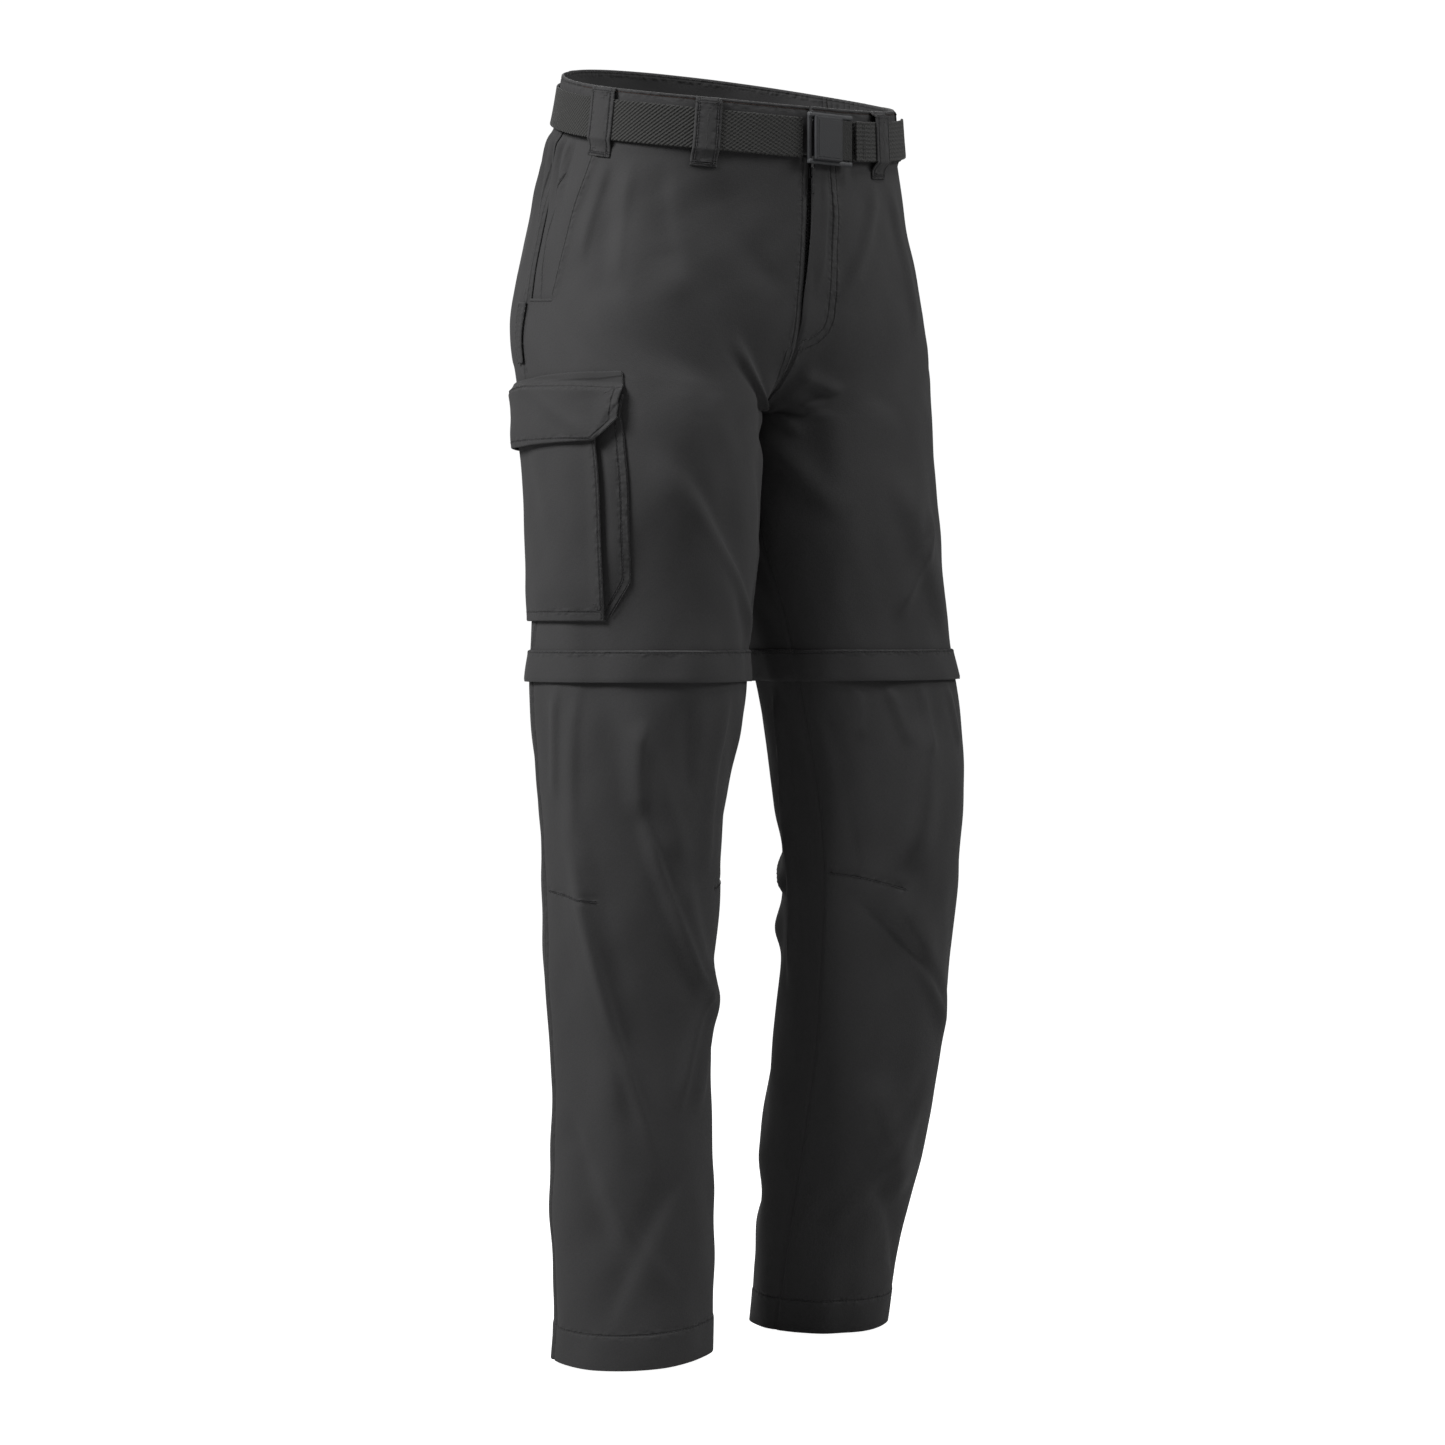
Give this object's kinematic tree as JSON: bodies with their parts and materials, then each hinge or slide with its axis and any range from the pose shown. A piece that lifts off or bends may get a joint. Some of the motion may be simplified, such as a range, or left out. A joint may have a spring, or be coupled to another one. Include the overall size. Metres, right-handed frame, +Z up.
{
  "type": "convertible zip-off trousers",
  "caption": "Zip-off trousers filled out as worn, with a webbing belt, a bellows cargo pocket on the right thigh and legs that unzip at the knee.",
  "frame": {"origin": "on the waist's axis, level with the middle of the belt at the side seams", "axes": "+Z up; the wearer faces -Y, so the wearer's left is +X"},
  "size_m": [0.4072, 0.2626, 1.0669],
  "materials": {
    "cloth": "matt fine weave",
    "pocket_cloth": "matt fine weave",
    "webbing": "matt webbing",
    "buckle": "matt",
    "zip_tape": "matt tape",
    "zip_metal": "satin black"
  },
  "bodies": {
    "trousers": {"front_right": "cloth", "front_left": "cloth", "back_right": "cloth", "back_left": "cloth", "shin_front_right": "cloth", "shin_front_left": "cloth", "shin_back_right": "cloth", "shin_back_left": "cloth", "zip_cover_front_right": "cloth", "zip_cover_back_right": "cloth", "zip_cover_front_left": "cloth", "zip_cover_back_left": "cloth", "pocket_facing_right": "cloth", "pocket_facing_left": "cloth", "zip_pocket": "cloth", "waistband_right_front": "cloth", "waistband_left_front": "cloth", "waistband_elastic_right": "cloth", "waistband_elastic_left": "cloth", "waistband_back": "cloth", "loop_front_right": "cloth", "loop_side_right": "cloth", "loop_back_right": "cloth", "loop_centre_back": "cloth", "loop_back_left": "cloth", "loop_side_left": "cloth", "loop_front_left": "cloth", "cargo_gusset": "pocket_cloth", "cargo_front": "pocket_cloth", "cargo_flap": "pocket_cloth", "belt": "webbing", "belt_tail": "webbing", "buckle_frame": "buckle", "buckle_plate": "buckle", "fly_zip": "zip_tape", "knee_zip_right": "zip_tape", "knee_zip_left": "zip_tape", "fly_slider": "zip_metal"},
    "pull": {"fly_pull": "zip_metal"}
  },
  "joints": [
    {"name": "pull_swing", "type": "hinge", "parent": "trousers", "child": "pull", "pos_m": [0.0034, -0.10314, -0.04686], "axis": [-1, 0, 0], "range_deg": [0, 80]}
  ]
}
